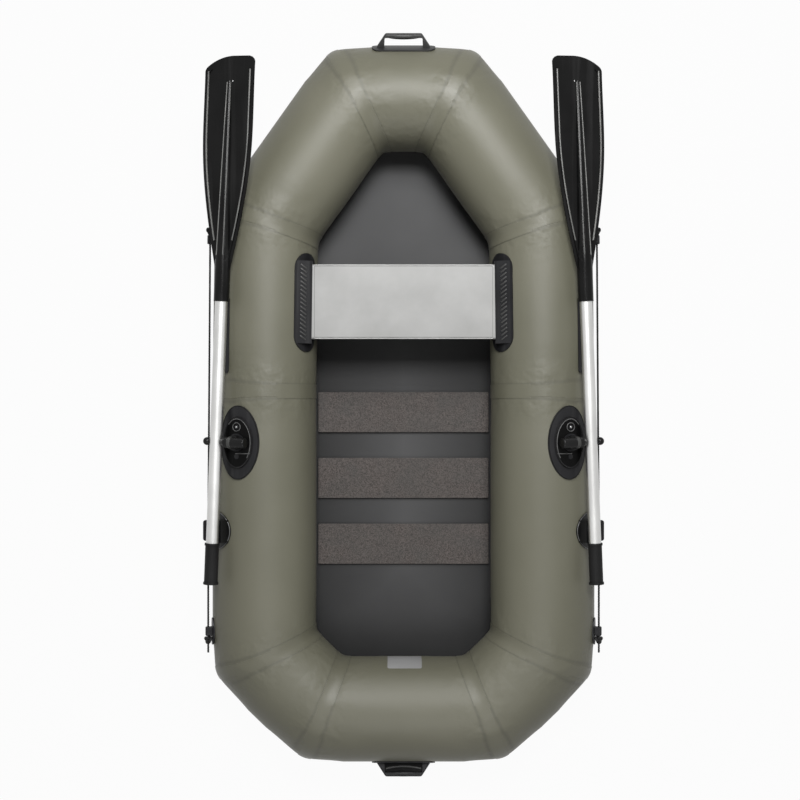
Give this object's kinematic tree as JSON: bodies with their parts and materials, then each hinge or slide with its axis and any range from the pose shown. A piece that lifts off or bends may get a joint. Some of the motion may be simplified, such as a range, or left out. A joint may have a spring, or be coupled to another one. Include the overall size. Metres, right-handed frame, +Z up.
{
  "type": "inflatable rowing boat",
  "caption": "Small inflatable rowing boat with a ring of mitred air tubes, a slatted floor, a plank seat and oars on swivel rowlocks.",
  "frame": {"origin": "on the ground under the middle of the boat, midway between the tips of the two handles", "axes": "+Y towards the bow, +X to starboard, +Z up"},
  "size_m": [1.1052, 2.0618, 0.335],
  "materials": {
    "tube_skin": "matt coated cloth",
    "floor_skin": "matt coated cloth",
    "slat_wood": "film-faced, satin",
    "seat_metal": "satin",
    "shaft_metal": "satin anodised",
    "black_fitting": "matt moulded",
    "black_plastic": "satin moulded",
    "blade_plastic": "satin moulded",
    "grip_rubber": "matt foam",
    "valve_plastic": "satin moulded",
    "rope": "braided"
  },
  "bodies": {
    "hull": {"tube_bow_quarter_starboard": "tube_skin", "tube_side_fore_starboard": "tube_skin", "tube_side_aft_starboard": "tube_skin", "tube_stern_quarter_starboard": "tube_skin", "tube_stern": "tube_skin", "tube_stern_quarter_port": "tube_skin", "tube_side_aft_port": "tube_skin", "tube_side_fore_port": "tube_skin", "tube_bow_quarter_port": "tube_skin", "tube_bow": "tube_skin", "floor_sheet": "floor_skin", "floor_slat_fore": "slat_wood", "floor_slat_middle": "slat_wood", "floor_slat_aft": "slat_wood", "seat_plank": "seat_metal", "seat_pad_starboard": "black_fitting", "seat_rail_starboard": "black_fitting", "rowlock_base_starboard": "black_fitting", "oar_rest_starboard": "black_fitting", "wear_pad_starboard": "black_fitting", "lifeline_eye_fore_starboard": "black_fitting", "lifeline_eye_aft_starboard": "black_fitting", "lifeline_starboard": "rope", "seat_pad_port": "black_fitting", "seat_rail_port": "black_fitting", "rowlock_base_port": "black_fitting", "oar_rest_port": "black_fitting", "wear_pad_port": "black_fitting", "lifeline_eye_fore_port": "black_fitting", "lifeline_eye_aft_port": "black_fitting", "lifeline_port": "rope", "handle_bow": "black_fitting", "handle_stern": "black_fitting", "valve_fore": "valve_plastic", "valve_aft": "valve_plastic"},
    "oar_starboard": {"rowlock_turret_starboard": "black_plastic", "rowlock_pin_starboard": "black_plastic", "oar_shaft_starboard": "shaft_metal", "oar_blade_starboard": "blade_plastic", "oar_grip_starboard": "grip_rubber"},
    "oar_port": {"rowlock_turret_port": "black_plastic", "rowlock_pin_port": "black_plastic", "oar_shaft_port": "shaft_metal", "oar_blade_port": "blade_plastic", "oar_grip_port": "grip_rubber"}
  },
  "joints": [
    {"name": "oar_swing_starboard", "type": "hinge", "parent": "hull", "child": "oar_starboard", "pos_m": [0.44898, -0.09562, 0.27746], "axis": [-0.4067, 0, -0.9135], "range_deg": [0, 135]},
    {"name": "oar_swing_port", "type": "hinge", "parent": "hull", "child": "oar_port", "pos_m": [-0.44898, -0.09562, 0.27746], "axis": [-0.4067, 0, 0.9135], "range_deg": [0, 135]}
  ]
}
